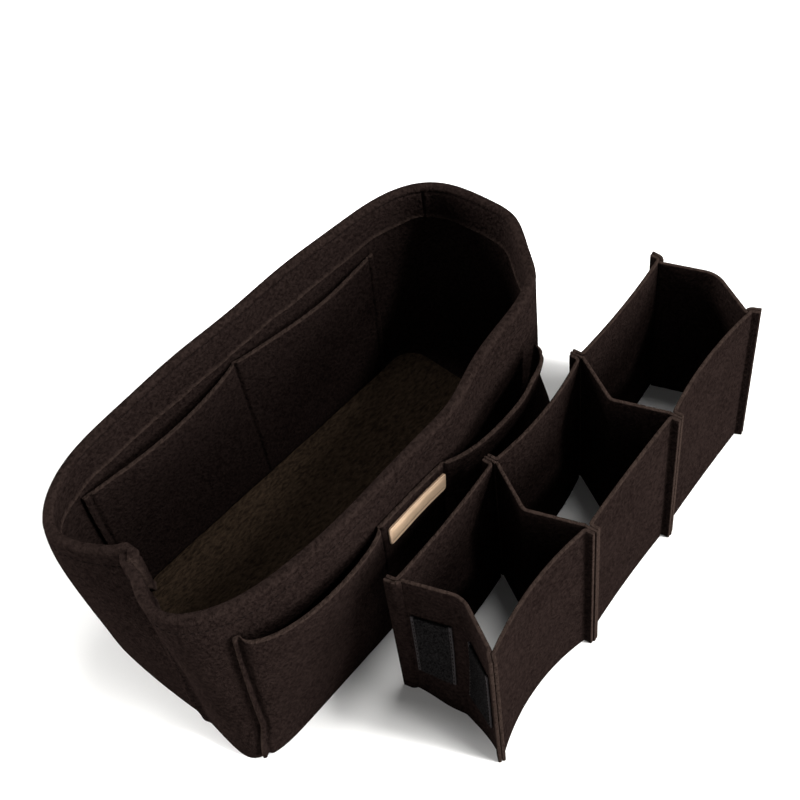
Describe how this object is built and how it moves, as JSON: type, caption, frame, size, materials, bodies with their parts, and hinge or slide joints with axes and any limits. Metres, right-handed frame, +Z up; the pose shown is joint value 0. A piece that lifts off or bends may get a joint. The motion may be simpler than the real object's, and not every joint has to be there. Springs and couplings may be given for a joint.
{
  "type": "purse organizer insert",
  "caption": "Oblong felt handbag insert: an open tub with sewn inside and outside pockets and a loose base board, beside a bottomless folding divider with hook and loop patches.",
  "frame": {"origin": "middle of the tub's underside, on the surface it stands on", "axes": "+Z up; +X along the tub to its rounded far end; -Y to the side with the outside pockets and the label, where the divider stands"},
  "size_m": [0.3251, 0.2173, 0.125],
  "materials": {
    "black_felt": "matte felt",
    "board_felt": "hairy matte felt",
    "label_leather": "smooth satin",
    "loop_tape": "fuzzy",
    "hook_tape": "ribbed"
  },
  "bodies": {
    "tub": {"tub_wall": "black_felt", "front_rim_facing": "black_felt", "back_rim_facing": "black_felt", "bottom_panel": "black_felt", "inner_pocket_panel": "black_felt", "front_pocket_panel": "black_felt", "leather_label": "label_leather"},
    "base_board": {"base_board": "board_felt"},
    "divider_left": {"divider_left_panel": "black_felt"},
    "divider_right": {"divider_right_panel": "black_felt"},
    "near_end_left": {"near_end_left_leaf": "black_felt", "loop_patch": "loop_tape"},
    "near_end_right": {"near_end_right_leaf": "black_felt", "hook_patch": "hook_tape"},
    "near_partition_left": {"near_partition_left_leaf": "black_felt"},
    "near_partition_right": {"near_partition_right_leaf": "black_felt"},
    "far_partition_left": {"far_partition_left_leaf": "black_felt"},
    "far_partition_right": {"far_partition_right_leaf": "black_felt"},
    "far_end_left": {"far_end_left_leaf": "black_felt"},
    "far_end_right": {"far_end_right_leaf": "black_felt"}
  },
  "joints": [
    {"name": "base_board_lift", "type": "slide", "parent": "tub", "child": "base_board", "axis": [0, 0, 1], "range_m": [0, 0.04]},
    {"name": "divider_lift", "type": "slide", "parent": "tub", "child": "divider_left", "axis": [0, 0, 1], "range_m": [0, 0.16]},
    {"name": "near_end_left_hinge", "type": "hinge", "parent": "divider_left", "child": "near_end_left", "pos_m": [-0.04757, -0.092, 0], "axis": [0, 0, 1], "range_deg": [-30, 60]},
    {"name": "near_end_crease", "type": "hinge", "parent": "near_end_left", "child": "near_end_right", "pos_m": [-0.03801, -0.11781, 0], "axis": [0, 0, -1], "range_deg": [-60, 120]},
    {"name": "divider_fold", "type": "hinge", "parent": "divider_left", "child": "near_partition_left", "pos_m": [0.02604, -0.0844, 0], "axis": [0, 0, -1], "range_deg": [-20, 48]},
    {"name": "near_partition_crease", "type": "hinge", "parent": "near_partition_left", "child": "near_partition_right", "pos_m": [0.01506, -0.10963, 0], "axis": [0, 0, 1], "range_deg": [-60, 120]},
    {"name": "far_partition_left_hinge", "type": "hinge", "parent": "divider_left", "child": "far_partition_left", "pos_m": [0.09965, -0.07679, 0], "axis": [0, 0, -1], "range_deg": [-30, 60]},
    {"name": "far_partition_crease", "type": "hinge", "parent": "far_partition_left", "child": "far_partition_right", "pos_m": [0.08867, -0.10202, 0], "axis": [0, 0, 1], "range_deg": [-60, 120]},
    {"name": "far_end_left_hinge", "type": "hinge", "parent": "divider_left", "child": "far_end_left", "pos_m": [0.17326, -0.06918, 0], "axis": [0, 0, 1], "range_deg": [-30, 60]},
    {"name": "far_end_crease", "type": "hinge", "parent": "far_end_left", "child": "far_end_right", "pos_m": [0.18281, -0.09499, 0], "axis": [0, 0, -1], "range_deg": [-60, 120]},
    {"name": "right_panel_hinge", "type": "hinge", "parent": "near_partition_right", "child": "divider_right", "pos_m": [0.02461, -0.13543, 0], "axis": [0, 0, -1], "range_deg": [-30, 60]}
  ],
  "couplings": [
    {"joint": "near_end_left_hinge", "follows": "divider_fold", "ratio": 1},
    {"joint": "near_end_crease", "follows": "divider_fold", "ratio": 2},
    {"joint": "near_partition_crease", "follows": "divider_fold", "ratio": 2},
    {"joint": "far_partition_left_hinge", "follows": "divider_fold", "ratio": 1},
    {"joint": "far_partition_crease", "follows": "divider_fold", "ratio": 2},
    {"joint": "far_end_left_hinge", "follows": "divider_fold", "ratio": 1},
    {"joint": "far_end_crease", "follows": "divider_fold", "ratio": 2},
    {"joint": "right_panel_hinge", "follows": "divider_fold", "ratio": 1}
  ]
}
